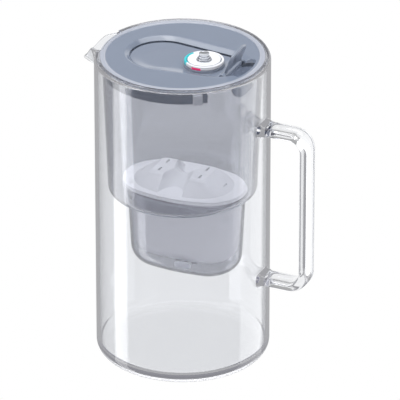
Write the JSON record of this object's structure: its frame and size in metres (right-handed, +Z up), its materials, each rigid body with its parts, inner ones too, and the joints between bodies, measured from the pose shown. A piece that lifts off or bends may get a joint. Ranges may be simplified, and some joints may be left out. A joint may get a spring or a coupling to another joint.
{
  "type": "water filter pitcher",
  "caption": "Clear glass water filter pitcher with welded glass handle, pulled spout, hanging hopper with filter cartridge, and lid with thumb-operated flip flap and change indicator.",
  "frame": {"origin": "centre of the jug's flat base, on the surface it stands on", "axes": "+Z up, +X towards the handle, -X towards the spout, +Y to the left seen from the spout side"},
  "size_m": [0.193, 0.136, 0.2677],
  "materials": {
    "jug_glass": "clear borosilicate glass, fire polished",
    "hopper_plastic": "translucent blue-grey, polished mould",
    "lid_plastic": "blue-grey, satin to gloss",
    "cartridge_shell": "white moulded",
    "cartridge_fleece": "white non-woven fleece",
    "filter_bed": "granular carbon and resin beads",
    "seal": "pale silicone",
    "cover_ring": "dark silicone",
    "pin_steel": "drawn stainless",
    "indicator_white": "white, high gloss",
    "indicator_housing": "grey moulded",
    "teal_window": "lit teal window",
    "magenta_window": "lit magenta window",
    "button_chrome": "bright plated",
    "spring_steel": "spring wire",
    "board": "lacquered glass-fibre board",
    "led": "moulded emitter",
    "cell_steel": "nickel-plated can",
    "contact_brass": "plated strip"
  },
  "bodies": {
    "jug": {"glass_body": "jug_glass", "glass_handle": "jug_glass"},
    "hopper": {"hopper": "hopper_plastic"},
    "cartridge": {"cartridge_body": "cartridge_shell", "cartridge_cap": "cartridge_shell", "cartridge_seal": "seal", "inlet_screen": "cartridge_fleece", "filter_media": "filter_bed", "outlet_screen": "cartridge_fleece"},
    "lid": {"lid_cover": "lid_plastic", "lid_gasket": "seal", "hinge_pin": "pin_steel"},
    "flap": {"flip_flap": "lid_plastic", "indicator_cup": "indicator_housing", "light_ring": "indicator_white", "ready_light": "teal_window", "change_light": "magenta_window", "indicator_face": "indicator_white", "button_spring": "spring_steel", "circuit_board": "board", "led_chips": "led", "coin_cell": "cell_steel", "battery_contact": "contact_brass"},
    "button": {"reset_button": "button_chrome"},
    "battery_door": {"battery_cover": "indicator_housing", "cover_seal": "cover_ring"}
  },
  "joints": [
    {"name": "hopper_lift", "type": "slide", "parent": "jug", "child": "hopper", "axis": [0, 0, 1], "range_m": [0, 0.185]},
    {"name": "cartridge_lift", "type": "slide", "parent": "hopper", "child": "cartridge", "axis": [0, 0, 1], "range_m": [0, 0.175]},
    {"name": "lid_lift", "type": "slide", "parent": "cartridge", "child": "lid", "axis": [0, 0, 1], "range_m": [0, 0.04]},
    {"name": "flap_hinge", "type": "hinge", "parent": "lid", "child": "flap", "pos_m": [0.041, 0, 0.2481], "axis": [0, 1, 0], "range_deg": [0, 45]},
    {"name": "button_press", "type": "slide", "parent": "flap", "child": "button", "axis": [0, 0, -1], "range_m": [0, 0.001], "stiffness_N_per_m": 400, "springref_m": -0.001, "deforming": ["button_spring"]},
    {"name": "cover_turn", "type": "hinge", "parent": "flap", "child": "battery_door", "pos_m": [0.0182, 0, 0.242], "axis": [0, 0, -1], "range_deg": [0, 60]}
  ]
}
